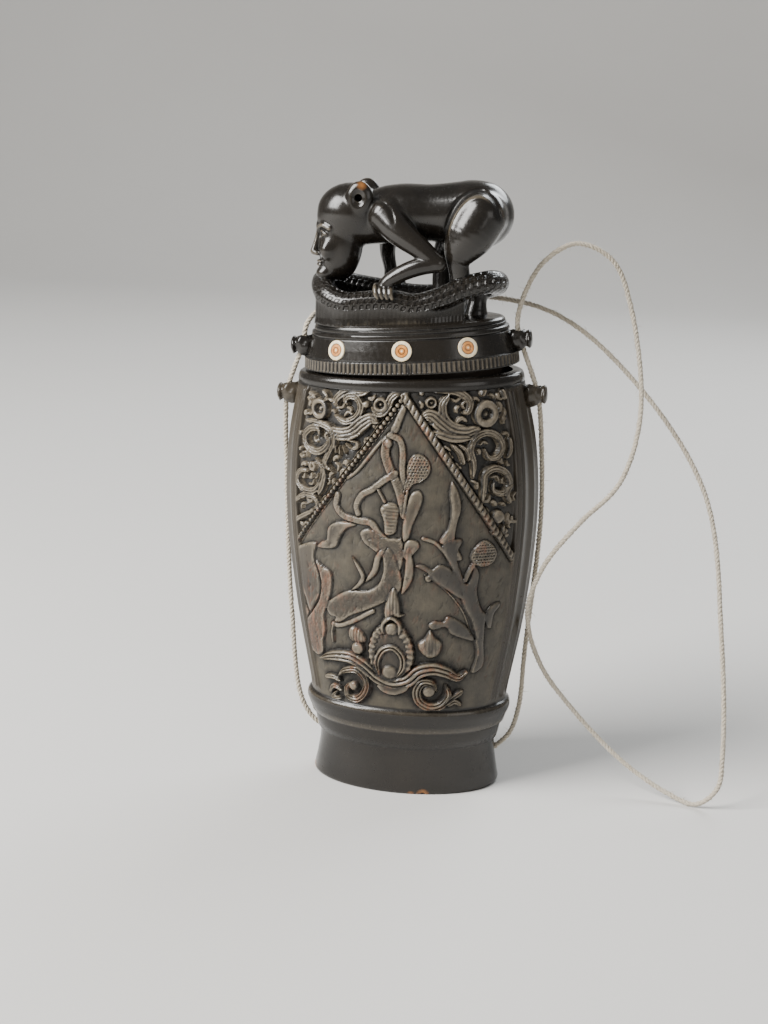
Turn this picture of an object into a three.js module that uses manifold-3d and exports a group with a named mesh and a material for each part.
// Carved horn flask: a hollow oval body, a lift-off lid with a crouching figure on a ringed snake,
// round bone inlays and a twine cord. Millimetres, +Z up, front towards -Y.
// The origin lies on the table, under the middle of the flask without its cord.
import * as THREE from 'three';
import { mergeVertices } from 'three/addons/utils/BufferGeometryUtils.js';
import Module from 'manifold-3d';

const wasm = await Module();
wasm.setup();

// Body: an oval section of horn whose axis bends a little towards -X
const BODY_HEIGHT = 104.5;
const DEPTH_RATIO = 0.645;
const BEND = THREE.MathUtils.degToRad(2.9);
const FOOT_X = 2.35;
const BODY_SIDES = 24;
const FOOT_OUTLINE = [
  [0, 23.4], [1.0, 23.6], [4.5, 22.9], [8.5, 22.3], [11.6, 22.2],
  [12.1, 22.8], [15.9, 23.7], [16.4, 24.5], [19.9, 25.6], [21.5, 25.6], [23.8, 24.9],
];
const BELLY_KNOTS = [[24, 24.9], [47, 29.0], [71, 31.3], [88, 30.5], [103.5, 27.4]];
const BELLY_LEVELS = 5;
const RIM_RADIUS = 1.0;
const RIM_HALF_WIDTH = 27.0;

// Walls and hollows
const WALL = 4.0;
const MOUTH_WALL = 3.2;
const CAVITY_FLOOR = 20;
const FOOT_HOLLOW = 15;
const FOOT_WALL = 2.6;
const HOLLOW_SIDES = 16;

// Lid: stands askew on the rim, touching at the left end
const LID_BASE = new THREE.Vector3(FOOT_X - 2.5, 0, 105.65);
const LID_TILT = THREE.MathUtils.degToRad(4.6);
const LID_OUTLINE = [
  [0, 26.3], [2.9, 26.1], [3.2, 25.4], [8.0, 23.9],
  [8.4, 24.1], [9.2, 23.9], [9.5, 23.2], [10.9, 22.8],
];
const LID_CROWN = 11.4;
const LID_CROWN_HALF_WIDTH = 18.0;
const LID_HOLLOW = 7.0;
const LID_HOLLOW_HALF_WIDTH = 20.2;
const SPIGOT_LENGTH = 5.5;
const SPIGOT_HALF_WIDTH = 22.4;
const SPIGOT_WALL = 2.0;

// Pegs with a hole for the cord, at the ends of the long axis
const PEG_COLLAR = 2.8;
const PEG_COLLAR_LENGTH = 4.0;
const PEG_HEAD = 2.8;
const PEG_LENGTH = 5.4;
const PEG_HOLE = 1.9;
const PEG_HOLE_OUT = 1.95;
const PEG_HOLE_REACH = 3.7;
const BODY_PEG_LEVEL = 98.5;
const LID_PEG_LEVEL = 5.4;
const LID_HOLE_LEAN = 0.31;
const BODY_HOLE_LEAN = 0.2;

// Bone inlays in the lid's band
const INLAY_RADIUS = 2.4;
const INLAY_THICKNESS = 1.2;
const INLAY_LEVEL = 5.6;
const INLAY_ANGLES = [-41, 0, 38];
const INLAY_CLEARANCE = 0.3;
const INLAY_SIDES = 12;

// Cord
const CORD_RADIUS = 0.6;
const CORD_SIDES = 8;
const CORD_STEPS = 76;
const FOOT_HOLE = 1.65;
const FOOT_HOLE_REACH = 4;
const FOOT_HOLES = [
  { centre: [23.7, 2.1, 7.2], along: [1, 0, 0.95] },
  { centre: [-19.6, 2.5, 10.4], along: [-1, 0, 0.48] },
];
const KNOT_RADIUS = 2.2;

// Relief
const RELIEF_SINK = 0.7;
const BAND_TOP = 101.6;
const BAND_WIDTH = 2.4;
const BAND_HEIGHT = 1.0;
const BAND_LEFT_FOOT = [-26.6, 62.2];
const BAND_RIGHT_FOOT = [25.2, 59.8];

// Materials
const horn = new THREE.MeshStandardMaterial({ color: 0x1c1a18, roughness: 0.38, metalness: 0.0 });
const bone = new THREE.MeshStandardMaterial({ color: 0xe2cfa2, roughness: 0.45, metalness: 0.0 });
const twine = new THREE.MeshStandardMaterial({ color: 0xb3a58c, roughness: 0.9, metalness: 0.0 });

// Closed solids from rings of points, joined and cut

function geometryFrom(points, faces) {
  const geometry = new THREE.BufferGeometry();
  geometry.setAttribute('position', new THREE.Float32BufferAttribute(points.flat(), 3));
  geometry.setIndex(faces.flat());
  return geometry;
}

function ringsToGeometry(rings, closed = false) {
  const sides = rings[0].length;
  const points = rings.flat().map((p) => [p.x, p.y, p.z]);
  const faces = [];
  const spans = closed ? rings.length : rings.length - 1;
  for (let i = 0; i < spans; i++) {
    const near = i * sides;
    const far = ((i + 1) % rings.length) * sides;
    for (let j = 0; j < sides; j++) {
      const k = (j + 1) % sides;
      faces.push([near + j, near + k, far + k], [near + j, far + k, far + j]);
    }
  }
  if (!closed) {
    [0, rings.length - 1].forEach((row, end) => {
      const middle = rings[row].reduce((sum, p) => sum.add(p), new THREE.Vector3());
      middle.divideScalar(sides);
      points.push([middle.x, middle.y, middle.z]);
      const hub = points.length - 1;
      for (let j = 0; j < sides; j++) {
        const k = (j + 1) % sides;
        const first = row * sides + j;
        const second = row * sides + k;
        faces.push(end === 0 ? [hub, second, first] : [hub, first, second]);
      }
    });
  }
  return geometryFrom(points, faces);
}

function toSolid(geometry) {
  const bare = geometry.clone();
  bare.deleteAttribute('normal');
  bare.deleteAttribute('uv');
  const merged = mergeVertices(bare, 1e-4);
  return new wasm.Manifold(new wasm.Mesh({
    numProp: 3,
    vertProperties: merged.attributes.position.array,
    triVerts: new Uint32Array(merged.index.array),
  }));
}

function toGeometry(solid) {
  const mesh = solid.getMesh();
  const geometry = new THREE.BufferGeometry();
  geometry.setAttribute('position', new THREE.BufferAttribute(mesh.vertProperties, 3));
  geometry.setIndex(new THREE.BufferAttribute(mesh.triVerts, 1));
  return geometry;
}

function join(solids) {
  return solids.reduce((whole, solid) => whole.add(solid));
}

// The body's surface

function bodyPoint(level, x, y) {
  const lean = (BEND * level) / BODY_HEIGHT;
  const centre = FOOT_X - (lean * level) / 2;
  return new THREE.Vector3(centre + x * Math.cos(lean), y, level + x * Math.sin(lean));
}

const bellyCurve = new THREE.SplineCurve(BELLY_KNOTS.map(([z, a]) => new THREE.Vector2(z, a)));
const bellySamples = bellyCurve.getPoints(60);

function halfWidthAt(level) {
  const outline = [...FOOT_OUTLINE, ...bellySamples.map((p) => [p.x, p.y])];
  const next = outline.findIndex(([z]) => z >= level);
  if (next <= 0) return outline[outline.length - 1][1];
  const [z0, a0] = outline[next - 1];
  const [z1, a1] = outline[next];
  return a0 + ((a1 - a0) * (level - z0)) / (z1 - z0);
}

function ovalRing(level, halfWidth, halfDepth, sides) {
  return Array.from({ length: sides }, (_, i) => {
    const angle = (2 * Math.PI * i) / sides;
    return bodyPoint(level, halfWidth * Math.cos(angle), halfDepth * Math.sin(angle));
  });
}

function bodyShell() {
  const outline = [...FOOT_OUTLINE];
  for (let i = 1; i <= BELLY_LEVELS; i++) {
    const level = 24 + ((BODY_HEIGHT - RIM_RADIUS - 24) * i) / BELLY_LEVELS;
    outline.push([level, halfWidthAt(level)]);
  }
  outline.push([BODY_HEIGHT - 0.3 * RIM_RADIUS, RIM_HALF_WIDTH - 0.3 * RIM_RADIUS]);
  outline.push([BODY_HEIGHT, RIM_HALF_WIDTH - RIM_RADIUS]);
  return toSolid(ringsToGeometry(outline.map(([z, a]) => ovalRing(z, a, a * DEPTH_RATIO, BODY_SIDES))));
}

function cavity() {
  const levels = [[CAVITY_FLOOR, 14], [CAVITY_FLOOR + 3, WALL + 1], [CAVITY_FLOOR + 10, WALL],
    [48, WALL], [72, WALL], [88, WALL], [96, MOUTH_WALL], [BODY_HEIGHT + 4, MOUTH_WALL]];
  const rings = levels.map(([z, wall]) => {
    const outer = halfWidthAt(Math.min(z, BODY_HEIGHT - RIM_RADIUS));
    const depth = Math.max(outer * DEPTH_RATIO - wall, 4);
    return ovalRing(z, outer - wall, depth, HOLLOW_SIDES);
  });
  return toSolid(ringsToGeometry(rings));
}

function footHollow() {
  const levels = [[-4, 23.4 - FOOT_WALL], [1, 23.4 - FOOT_WALL], [FOOT_HOLLOW - 3, 22.0 - FOOT_WALL],
    [FOOT_HOLLOW, 21.0 - FOOT_WALL]];
  const rings = levels.map(([z, a]) => {
    const depth = (a + FOOT_WALL) * DEPTH_RATIO - FOOT_WALL;
    return Array.from({ length: HOLLOW_SIDES }, (_, i) => {
      const angle = (2 * Math.PI * i) / HOLLOW_SIDES;
      return bodyPoint(Math.max(z, 0), a * Math.cos(angle), depth * Math.sin(angle)).setZ(z);
    });
  });
  return toSolid(ringsToGeometry(rings));
}

// Round parts along a line: pegs, drills and discs

function roundAlong(start, direction, profile, sides) {
  const axis = direction.clone().normalize();
  const across = new THREE.Vector3(0, 1, 0);
  if (Math.abs(axis.y) > 0.9) across.set(1, 0, 0);
  const u = across.clone().cross(axis).normalize();
  const v = axis.clone().cross(u);
  const rings = profile.map(([along, radius]) => Array.from({ length: sides }, (_, i) => {
    const angle = (2 * Math.PI * i) / sides;
    return start.clone().addScaledVector(axis, along)
      .addScaledVector(u, radius * Math.cos(angle)).addScaledVector(v, radius * Math.sin(angle));
  }));
  return toSolid(ringsToGeometry(rings));
}

function peg(root, outward) {
  return roundAlong(root, outward, [
    [-2.0, PEG_COLLAR - 0.4], [0.9, PEG_COLLAR], [2.6, PEG_COLLAR],
    [PEG_COLLAR_LENGTH - 0.2, PEG_COLLAR - 0.6], [PEG_COLLAR_LENGTH, PEG_HEAD - 0.3],
    [PEG_COLLAR_LENGTH + 0.6, PEG_HEAD], [PEG_LENGTH, 0.5 * PEG_HEAD],
  ], 8);
}

function drill(centre, direction, radius, halfLength) {
  return roundAlong(centre, direction, [[-halfLength, radius], [halfLength, radius]], 8);
}

// Relief: a ridge follows a path of [across, level] on the front (side -1) or the back (side +1)

function skin(x, level, side) {
  const a = halfWidthAt(Math.min(level, BODY_HEIGHT - RIM_RADIUS));
  const b = a * DEPTH_RATIO;
  const inside = Math.max(1 - (x / a) ** 2, 0.02);
  const y = side * b * Math.sqrt(inside);
  const normal = new THREE.Vector3(x / (a * a), y / (b * b), 0).normalize();
  return { point: bodyPoint(level, x, y), normal };
}

function ridge(path, side, widthAt, heightAt) {
  const spots = path.map(([x, z]) => skin(x, z, side));
  const last = spots.length - 1;
  const rings = spots.map(({ point, normal }, i) => {
    const ahead = spots[Math.min(i + 1, last)].point.clone().sub(spots[Math.max(i - 1, 0)].point);
    const across = normal.clone().cross(ahead).normalize();
    const t = i / last;
    const top = heightAt(t);
    const half = (widthAt(t) / 2) * (1 + RELIEF_SINK / top);
    return [[-half, -RELIEF_SINK], [half, -RELIEF_SINK], [0, top]].map(([w, h]) => (
      point.clone().addScaledVector(across, w).addScaledVector(normal, h)));
  });
  return toSolid(ringsToGeometry(rings));
}

const line = (from, to, steps) => Array.from({ length: steps + 1 }, (_, i) => [
  from[0] + ((to[0] - from[0]) * i) / steps, from[1] + ((to[1] - from[1]) * i) / steps,
]);

function bow(from, to, bulge, steps) {
  const dx = to[0] - from[0];
  const dz = to[1] - from[1];
  return line(from, to, steps).map(([x, z], i) => {
    const lift = bulge * Math.sin((Math.PI * i) / steps);
    return [x - dz * lift, z + dx * lift];
  });
}

function waveLine(from, to, height, waves, steps) {
  const wave = (i) => height * Math.cos((2 * Math.PI * waves * i) / steps);
  return line(from, to, steps).map(([x, z], i) => [x, z + wave(i)]);
}

function scroll([cx, cz], radius, start, turns, hand, steps) {
  return Array.from({ length: steps + 1 }, (_, i) => {
    const t = i / steps;
    const angle = start + hand * 2 * Math.PI * turns * t;
    const r = radius * (1 - 0.72 * t);
    return [cx + r * Math.cos(angle), cz + r * Math.sin(angle)];
  });
}

const steady = (value) => () => value;
const lens = (value) => (t) => Math.max(value * Math.sin(Math.PI * t) ** 0.7, 0.15);

function boss([x, level], side, radius, height, sides = 7) {
  const { point, normal } = skin(x, level, side);
  const bossProfile = [[-RELIEF_SINK, radius], [0.3 * height, radius], [height, 0.5 * radius]];
  return roundAlong(point, normal, bossProfile, sides);
}

function rosette(centre, side, radius) {
  const { point, normal } = skin(...centre, side);
  const rim = roundAlong(point, normal, [[-RELIEF_SINK, radius], [1.2, 0.9 * radius]], 8);
  const dish = roundAlong(point, normal, [[0.3, 0.5 * radius], [2.0, 0.7 * radius]], 6);
  return rim.subtract(dish);
}

function slantedBand(foot, side) {
  const apex = [0.9, BAND_TOP];
  return ridge(line(apex, foot, 3), side, steady(BAND_WIDTH), steady(BAND_HEIGHT));
}

function corners(side, rows) {
  const scrolls = [
    [[-12.8, 97.3], 3.3, -2.4, 1.1, -1], [[12.8, 97.5], 3.5, -0.6, 1.1, 1],
    [[-20.8, 89.6], 3.2, -1.4, 1.0, 1], [[20.4, 88.8], 3.2, 3.4, 1.0, -1],
    [[-22.9, 80.3], 2.7, -1.4, 1.0, 1], [[21.7, 80.0], 2.9, 3.6, 1.0, -1],
  ];
  return [
    slantedBand(BAND_LEFT_FOOT, side),
    slantedBand(BAND_RIGHT_FOOT, side),
    rosette([-19.9, 97.2], side, 2.9),
    rosette([19.4, 96.4], side, 3.2),
    ...scrolls.slice(0, 2 * rows).map(([centre, radius, start, turns, hand]) => (
      ridge(scroll(centre, radius, start, turns, hand, 5), side, steady(1.6), steady(1.0)))),
    ridge(bow([-16.8, 93.9], [-6.8, 93.6], -0.16, 3), side, lens(2.4), steady(0.9)),
    ridge(bow([6.4, 94.6], [17.0, 92.6], -0.2, 3), side, lens(2.4), steady(0.9)),
  ];
}

function baseWave(side) {
  return [
    ridge(waveLine([-20.0, 32.6], [16.4, 31.4], 2.6, 1.15, 8), side, steady(3.0), steady(1.3)),
    ridge(scroll([-11.6, 26.6], 3.1, 1.8, 1.0, -1, 5), side, steady(1.8), steady(1.2)),
    ridge(scroll([7.6, 27.0], 3.6, 1.4, 1.0, 1, 5), side, steady(1.8), steady(1.2)),
    boss([-2.7, 35.2], side, 3.0, 1.7),
  ];
}

function baseBuds(side) {
  return [
    boss([-2.4, 44.2], side, 2.6, 1.7),
    ridge(line([-2.3, 46.5], [-1.2, 55.4], 1), side, (t) => 3.6 * (1 - t) + 0.3, steady(1.3)),
    ridge(bow([-6.4, 31.8], [-6.6, 45.2], 0.1, 2), side, lens(3.0), steady(1.4)),
    ridge(bow([1.4, 32.4], [2.2, 45.4], -0.1, 2), side, lens(3.0), steady(1.4)),
    boss([-10.9, 37.4], side, 2.1, 1.5, 6),
    boss([6.5, 38.8], side, 2.3, 1.5, 6),
  ];
}

function sideBorders(side) {
  const edge = [[26, 0.926], [63, 0.9], [101, 0.892]];
  return [-1, 1].map((end) => (
    ridge(edge.map(([z, share]) => [end * share * halfWidthAt(z), z]), side, steady(1.3), steady(0.8))));
}

function frontScene() {
  const leaves = [
    [[-1.6, 99.0], [-1.0, 80.0], 0.14, 2.0], [[5.0, 80.2], [1.6, 68.6], -0.08, 2.8],
    [[11.2, 82.4], [9.6, 65.2], 0.12, 3.4], [[-1.6, 84.4], [-10.9, 74.6], -0.14, 2.0],
    [[-16.2, 78.2], [-1.6, 62.0], 0.16, 2.4], [[-10.6, 71.4], [-20.4, 64.2], 0.14, 4.6],
    [[-17.6, 45.6], [-4.6, 53.8], 0.06, 7.4], [[-6.0, 52.6], [-0.6, 65.6], -0.14, 4.4],
    [[0.6, 66.0], [0.6, 52.6], 0.18, 2.0], [[3.6, 60.6], [15.6, 50.6], 0.12, 4.2],
    [[6.4, 42.4], [16.8, 41.4], 0.3, 3.4], [[-27.0, 52.6], [-21.4, 34.6], -0.06, 4.0],
    [[-26.2, 58.0], [-21.6, 44.4], 0.24, 2.0], [[-15.4, 42.8], [-6.8, 47.6], 0.1, 1.9],
  ];
  return [
    ...leaves.map(([from, to, bulge, width]) => ridge(bow(from, to, bulge, 2), -1, lens(width), steady(0.8))),
    boss([4.0, 84.6], -1, 2.8, 0.9),
    boss([19.1, 63.0], -1, 3.0, 0.9),
    ridge([[9.4, 65.8], [15.6, 58.4], [17.8, 44.0], [18.0, 27.0]], -1, (t) => 1.6 + 3.2 * t, steady(0.8)),
  ];
}

function backScene() {
  const leaves = [-1, 1].flatMap((hand) => [
    [[0, 80], [hand * 11, 72], hand * 0.2, 3.4], [[0, 66], [hand * 17, 60], hand * 0.2, 4.0],
    [[0, 54], [hand * 19, 46], hand * 0.22, 4.0],
  ]);
  return [
    ...leaves.map(([from, to, bulge, width]) => ridge(bow(from, to, bulge, 2), 1, lens(width), steady(0.8))),
    ridge(line([0.4, 91.0], [0, 48.0], 2), 1, steady(1.8), steady(0.8)),
    boss([0.7, 92.0], 1, 2.8, 0.9),
  ];
}

// The lid's own frame: x and y across, h up from its lower edge

const lidUp = new THREE.Vector3(-Math.sin(LID_TILT), 0, Math.cos(LID_TILT));
const lidAcross = new THREE.Vector3(Math.cos(LID_TILT), 0, Math.sin(LID_TILT));

function lidPoint(x, y, h) {
  return LID_BASE.clone()
    .addScaledVector(lidAcross, x)
    .addScaledVector(lidUp, h)
    .add(new THREE.Vector3(0, y, 0));
}

function lidRing(h, halfWidth, halfDepth, sides) {
  return Array.from({ length: sides }, (_, i) => {
    const angle = (2 * Math.PI * i) / sides;
    return lidPoint(halfWidth * Math.cos(angle), halfDepth * Math.sin(angle), h);
  });
}

function lidBandHalfWidth(h) {
  const next = LID_OUTLINE.findIndex(([level]) => level >= h);
  const [h0, a0] = LID_OUTLINE[next - 1];
  const [h1, a1] = LID_OUTLINE[next];
  return a0 + ((a1 - a0) * (h - h0)) / (h1 - h0);
}

function lidCap() {
  const outline = [...LID_OUTLINE, [LID_CROWN, LID_CROWN_HALF_WIDTH]];
  const cap = toSolid(ringsToGeometry(outline.map(([h, a]) => lidRing(h, a, a * DEPTH_RATIO, BODY_SIDES))));
  const spigotDepth = SPIGOT_HALF_WIDTH * DEPTH_RATIO - 1.2;
  const spigot = toSolid(ringsToGeometry([
    lidRing(-SPIGOT_LENGTH, SPIGOT_HALF_WIDTH - 0.6, spigotDepth - 0.6, HOLLOW_SIDES),
    lidRing(1, SPIGOT_HALF_WIDTH, spigotDepth, HOLLOW_SIDES),
  ]));
  const hollowDepth = spigotDepth - SPIGOT_WALL;
  const hollow = toSolid(ringsToGeometry([
    lidRing(-SPIGOT_LENGTH - 2, LID_HOLLOW_HALF_WIDTH, hollowDepth, HOLLOW_SIDES),
    lidRing(LID_HOLLOW - 2, LID_HOLLOW_HALF_WIDTH, hollowDepth, HOLLOW_SIDES),
    lidRing(LID_HOLLOW, LID_HOLLOW_HALF_WIDTH - 4, hollowDepth - 3, HOLLOW_SIDES),
  ]));
  return join([cap, spigot]).subtract(hollow);
}

function inlaySeat(angle, side) {
  const a = lidBandHalfWidth(INLAY_LEVEL);
  const turn = THREE.MathUtils.degToRad(angle);
  const x = a * Math.sin(turn);
  const y = side * a * DEPTH_RATIO * Math.cos(turn);
  const slope = (LID_OUTLINE[2][1] - LID_OUTLINE[3][1]) / (LID_OUTLINE[3][0] - LID_OUTLINE[2][0]);
  const out = new THREE.Vector3(0, y / (a * DEPTH_RATIO) ** 2, 0).addScaledVector(lidAcross, x / (a * a));
  out.normalize().addScaledVector(lidUp, 0.8 * slope).normalize();
  return { centre: lidPoint(x, y, INLAY_LEVEL), out };
}

// Limbs of the figure and the snake: a path of [x, y, z, radius] with rounded ends

function limb(stations, sides, steps) {
  const path = new THREE.CatmullRomCurve3(stations.map(([x, y, z]) => new THREE.Vector3(x + FOOT_X, y, z)));
  const radii = new THREE.SplineCurve(stations.map((s, i) => new THREE.Vector2(i, s[3])));
  const spots = [];
  for (let i = 0; i <= steps; i++) {
    const t = i / steps;
    spots.push({ point: path.getPoint(t), tangent: path.getTangent(t), radius: radii.getPoint(t).y });
  }
  const first = spots[0];
  const last = spots[spots.length - 1];
  const capped = [[first, -0.92, 0.4], [first, -0.6, 0.8], ...spots.map((s) => [s, 0, 1]),
    [last, 0.6, 0.8], [last, 0.92, 0.4]];
  let across = new THREE.Vector3(0, 1, 0);
  const rings = capped.map(([{ point, tangent, radius }, shift, share]) => {
    across = across.clone().addScaledVector(tangent, -across.dot(tangent)).normalize();
    const up = tangent.clone().cross(across);
    const centre = point.clone().addScaledVector(tangent, shift * radius);
    return Array.from({ length: sides }, (_, i) => {
      const angle = (2 * Math.PI * i) / sides;
      return centre.clone().addScaledVector(across, share * radius * Math.cos(angle))
        .addScaledVector(up, share * radius * Math.sin(angle));
    });
  });
  return toSolid(ringsToGeometry(rings));
}

function oval([x, y, z], [rx, ry, rz], pitch = 0, across = 12, along = 8) {
  const geometry = new THREE.SphereGeometry(1, across, along);
  geometry.rotateX(Math.PI / 2);
  geometry.scale(rx, ry, rz);
  geometry.rotateY(THREE.MathUtils.degToRad(pitch));
  geometry.translate(x + FOOT_X, y, z);
  return toSolid(geometry);
}

function figure() {
  const torso = limb(
    [[-13, 0, 141, 5.6], [-7, 0, 141.8, 7.0], [1, 0, 142.2, 6.9], [9, 0, 142.6, 7.6]],
    10,
    3,
  );
  const rump = oval([12.6, 0, 142.5], [8.1, 8.6, 8.1], 0, 10, 7);
  const nearLeg = [[13.4, -5.6, 142.5, 6.2], [11.2, -6.4, 138.6, 6.0], [9.2, -6.8, 135.0, 4.2],
    [8.4, -6.8, 132.2, 2.8], [8.9, -6.4, 128.5, 2.5], [8.8, -5.6, 122.5, 2.5], [8.0, -5.0, 118.6, 2.3]];
  const farLeg = [[12.6, 5.6, 142.5, 6.2], [9.0, 6.4, 138.6, 5.8], [5.4, 6.8, 134.8, 4.0],
    [3.6, 6.8, 131.8, 2.7], [3.2, 6.4, 127.5, 2.4], [3.4, 5.6, 122.0, 2.4], [3.4, 5.0, 118.2, 2.3]];
  const nearArm = [[-9.0, -5.4, 142.0, 3.6], [-5.4, -8.0, 138.4, 2.9], [0.0, -9.4, 134.6, 2.4],
    [3.6, -9.6, 131.8, 2.1], [-0.6, -9.9, 130.2, 1.9], [-5.6, -9.7, 128.2, 1.7], [-9.6, -9.3, 125.6, 1.7],
    [-10.8, -9.0, 123.4, 1.9]];
  const farArm = [[-9.2, 5.4, 142.0, 3.6], [-10.2, 7.6, 136.6, 2.6], [-10.6, 8.7, 131.6, 2.0],
    [-9.8, 9.1, 127.4, 1.8], [-9.2, 9.1, 123.6, 1.9]];
  const neck = limb([[-17.5, -0.5, 138.5, 5.2], [-10, 0, 141.0, 6.2]], 7, 1);
  const skull = oval([-19.3, -0.8, 140.6], [7.6, 6.4, 7.4], 0, 10, 7);
  const face = oval([-20.6, -1.2, 132.6], [5.0, 4.8, 8.6], -14, 10, 6);
  const nose = limb([[-25.4, -2.6, 137.6, 0.7], [-26.6, -3.0, 133.6, 1.0]], 6, 1);
  const ears = [-1, 1].map((side) => {
    const ear = oval([-15.7, side * 5.6 - 0.3, 145.0], [3.1, 1.5, 3.8], 0, 8, 5);
    const middle = new THREE.Vector3(FOOT_X - 15.9, side * 7.0, 145.2);
    return ear.subtract(drill(middle, new THREE.Vector3(0, 1, 0), 0.9, 4));
  });
  return [torso, rump, neck, skull, face, nose, ...ears, limb(nearLeg, 7, 7), limb(farLeg, 7, 7),
    limb(nearArm, 6, 8), limb(farArm, 6, 4), limb([[8.0, -5, 119.2, 2.0], [3.6, -5, 118.6, 1.5]], 6, 1),
    limb([[3.4, 5, 118.8, 2.0], [-1.0, 5, 118.2, 1.5]], 6, 1)];
}

// The snake lies in a ring round the figure; long stretches of it rest on a solid bed on the lid
const SNAKE_PATH = [
  [-24.8, 0.0, 124.6], [-23.2, -5.2, 122.6], [-18.4, -8.3, 120.7], [-12.3, -8.9, 121.3], [-6.2, -9.1, 121.8],
  [-1.3, -9.1, 121.2], [4.7, -8.7, 123.0], [10.6, -7.3, 125.8], [15.6, -4.0, 127.0], [17.4, 0.5, 126.4],
  [15.6, 5.0, 125.0], [8.6, 8.4, 122.6], [-2.6, 9.3, 121.2], [-12.0, 9.1, 122.2], [-19.2, 7.2, 123.4],
  [-23.6, 3.9, 124.6],
];
const SNAKE_RADIUS = 2.8;
const SNAKE_SIDES = 7;
const SNAKE_STEPS = 26;
const SNAKE_BEDS = [[0.06, 0.42], [0.66, 0.95]];
const BED_SINK = 0.6;

function snake() {
  const stations = SNAKE_PATH.map(([x, y, z]) => new THREE.Vector3(x + FOOT_X, y, z));
  const path = new THREE.CatmullRomCurve3(stations, true);
  const rings = Array.from({ length: SNAKE_STEPS }, (_, i) => {
    const t = i / SNAKE_STEPS;
    const centre = path.getPoint(t);
    const tangent = path.getTangent(t);
    const up = new THREE.Vector3(0, 0, 1).addScaledVector(tangent, -tangent.z).normalize();
    const across = tangent.clone().cross(up);
    const bedded = SNAKE_BEDS.some(([from, to]) => t > from && t < to);
    const floor = LID_BASE.z + LID_CROWN - BED_SINK + (centre.x - LID_BASE.x) * Math.tan(LID_TILT);
    return Array.from({ length: SNAKE_SIDES }, (_, j) => {
      const angle = (2 * Math.PI * j) / SNAKE_SIDES;
      const point = centre.clone().addScaledVector(across, SNAKE_RADIUS * Math.sin(angle))
        .addScaledVector(up, SNAKE_RADIUS * Math.cos(angle));
      return bedded && Math.cos(angle) < -0.5 ? point.setZ(floor) : point;
    });
  });
  return toSolid(ringsToGeometry(rings, true));
}

// The finished pieces

function buildBody() {
  const pegs = [-1, 1].map((end) => {
    const lean = (BEND * BODY_PEG_LEVEL) / BODY_HEIGHT;
    const outward = new THREE.Vector3(end * Math.cos(lean), 0, end * Math.sin(lean));
    const root = bodyPoint(BODY_PEG_LEVEL, end * halfWidthAt(BODY_PEG_LEVEL), 0);
    const along = new THREE.Vector3(-end * BODY_HOLE_LEAN, 0, 1);
    const hole = drill(root.clone().addScaledVector(outward, PEG_HOLE_OUT), along, PEG_HOLE, PEG_HOLE_REACH);
    return { solid: peg(root, outward), hole };
  });
  const footHoles = FOOT_HOLES.map(({ centre, along }) => (
    drill(new THREE.Vector3(...centre), new THREE.Vector3(...along), FOOT_HOLE, FOOT_HOLE_REACH)));
  const shared = [-1, 1].flatMap((side) => [...baseWave(side), ...sideBorders(side)]);
  const framing = [...shared, ...corners(-1, 3), ...corners(1, 2), ...baseBuds(-1)];
  const relief = [...framing, ...frontScene(), ...backScene()];
  const outside = join([bodyShell(), ...pegs.map((p) => p.solid), ...relief]);
  return [cavity(), footHollow(), ...pegs.map((p) => p.hole), ...footHoles]
    .reduce((solid, cut) => solid.subtract(cut), outside);
}

function buildLid() {
  const pegs = [-1, 1].map((end) => {
    const outward = lidAcross.clone().multiplyScalar(end);
    const root = lidPoint(end * lidBandHalfWidth(LID_PEG_LEVEL), 0, LID_PEG_LEVEL);
    const along = lidUp.clone().addScaledVector(outward, -LID_HOLE_LEAN);
    const hole = drill(root.clone().addScaledVector(outward, PEG_HOLE_OUT), along, PEG_HOLE, PEG_HOLE_REACH);
    return { solid: peg(root, outward), hole };
  });
  const column = limb([[12.2, 3.4, 117.6, 3.0], [12.4, 3.8, 121.0, 2.4], [12.8, 4.2, 124.0, 2.6]], 10, 2);
  const solid = join([lidCap(), ...pegs.map((p) => p.solid), snake(), column, ...figure()]);
  const pocketRadius = INLAY_RADIUS + INLAY_CLEARANCE;
  const pockets = inlaySeats().map(({ centre, out }) => (
    roundAlong(centre, out, [[-INLAY_THICKNESS, pocketRadius], [2, pocketRadius]], INLAY_SIDES)));
  return [...pegs.map((p) => p.hole), ...pockets].reduce((whole, cut) => whole.subtract(cut), solid);
}

function inlaySeats() {
  return [-1, 1].flatMap((side) => INLAY_ANGLES.map((angle, i) => {
    const name = `inlay_${side < 0 ? 'front' : 'back'}_${['left', 'middle', 'right'][i]}`;
    return { name, ...inlaySeat(angle, side) };
  }));
}

function buildInlay({ centre, out }) {
  return roundAlong(centre, out, [
    [INLAY_CLEARANCE - INLAY_THICKNESS, INLAY_RADIUS], [0.2, INLAY_RADIUS],
  ], INLAY_SIDES);
}

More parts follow.
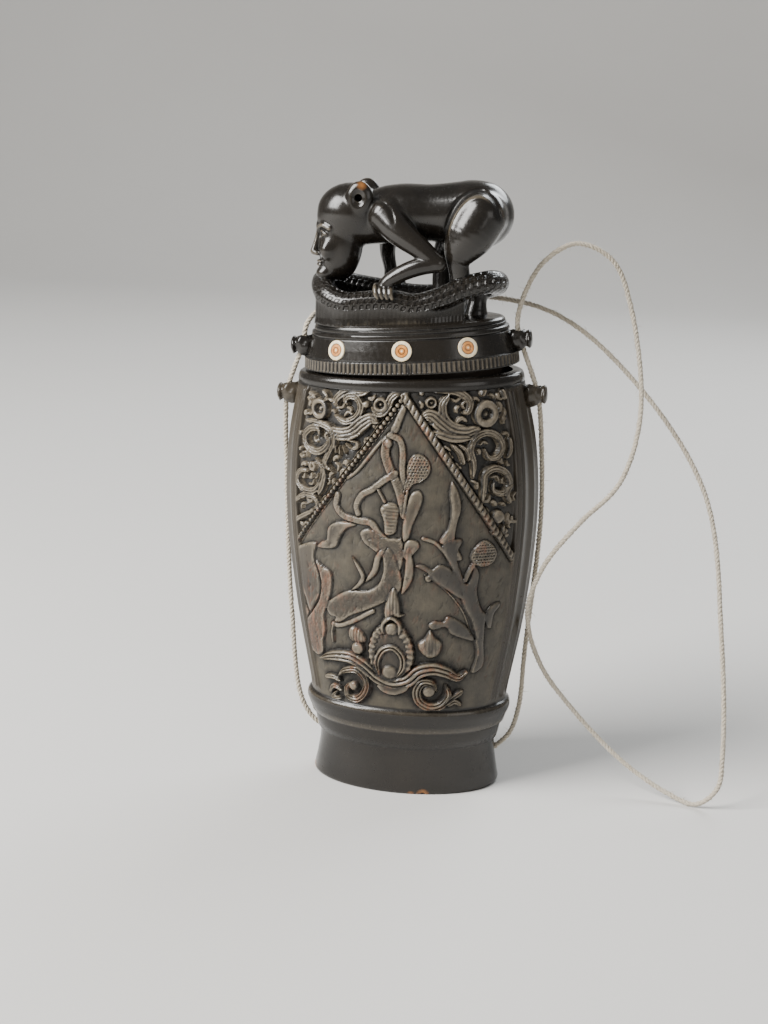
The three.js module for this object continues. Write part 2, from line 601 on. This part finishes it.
// The cord: one run from the right hole of the foot to the left one, through the pegs and out in a loop,
// and a short run with its knot in the hollow foot. Points of the routes are set by hand.
const CORD_ROUTE = [
  [21.3, 2.0, 5.0], [28.1, 2.4, 11.8], [30.1, 3.0, 18.6], [30.9, 3.6, 34.0], [33.0, 4.4, 68.0],
  [32.3, 1.8, 87.0], [30.8, 0.0, 100.0], [26.0, 0.0, 113.1], [25.0, 0.1, 117.4], [26.5, 1.5, 124.6],
  [30.7, 3.5, 132.0], [37.9, 5.8, 136.1], [46.5, 8.0, 132.3], [51.5, 9.0, 121.5], [55.7, 5.0, 96.0],
  [51.9, -2.5, 80.0], [43.1, -7.0, 70.6], [35.3, -8.4, 60.0], [31.6, -6.2, 47.4], [35.3, 1.0, 31.0],
  [44.5, 3.0, 18.6], [57.3, 0.0, 7.6], [68.5, -4.4, 2.2], [75.9, -7.4, 1.0], [80.7, -7.4, 5.4],
  [81.5, -5.6, 13.0], [79.3, 1.0, 41.0], [72.3, 9.0, 77.0], [50.3, 14.6, 105.4], [31.3, 14.0, 118.6],
  [4.9, 16.0, 121.0], [-20.1, 11.0, 118.6], [-26.2, 0.9, 114.4], [-27.2, 0.0, 108.8], [-30.7, 0.0, 97.2],
  [-31.2, 3.8, 76.0], [-29.1, 3.6, 40.0], [-25.7, 2.7, 16.5], [-21.7, 2.6, 10.8], [-17.3, 2.6, 9.3],
];
const FOOT_RUN_ROUTE = [
  [19.8, 1.9, 5.2], [14.9, 1.2, 8.0], [4.9, -0.8, 10.4],
  [-5.1, 0.4, 10.8], [-12.1, 1.8, 9.8], [-16.4, 2.5, 9.2],
];
const KNOT = [-0.1, -0.2, 10.7];

function tube(route, steps) {
  const path = new THREE.CatmullRomCurve3(route.map((p) => new THREE.Vector3(...p)), false, 'centripetal');
  const section = new THREE.Shape(Array.from({ length: CORD_SIDES }, (_, i) => {
    const angle = (2 * Math.PI * i) / CORD_SIDES;
    return new THREE.Vector2(CORD_RADIUS * Math.cos(angle), CORD_RADIUS * Math.sin(angle));
  }));
  return new THREE.ExtrudeGeometry(section, { steps, extrudePath: path, bevelEnabled: false });
}

function buildFootRun() {
  const [x, y, z] = KNOT;
  const knot = oval([x - FOOT_X, y, z], [1.3 * KNOT_RADIUS, KNOT_RADIUS, KNOT_RADIUS], 0, 8, 6);
  return toGeometry(toSolid(tube(FOOT_RUN_ROUTE, 10)).add(knot));
}

const flask = new THREE.Group();

function addPiece(name, geometry, material) {
  const mesh = new THREE.Mesh(geometry, material);
  mesh.name = name;
  flask.add(mesh);
}

addPiece('body', toGeometry(buildBody()), horn);
addPiece('lid', toGeometry(buildLid()), horn);
inlaySeats().forEach((seat) => addPiece(seat.name, toGeometry(buildInlay(seat)), bone));
addPiece('cord', tube(CORD_ROUTE, CORD_STEPS), twine);
addPiece('cord_foot_run', buildFootRun(), twine);

export default flask;
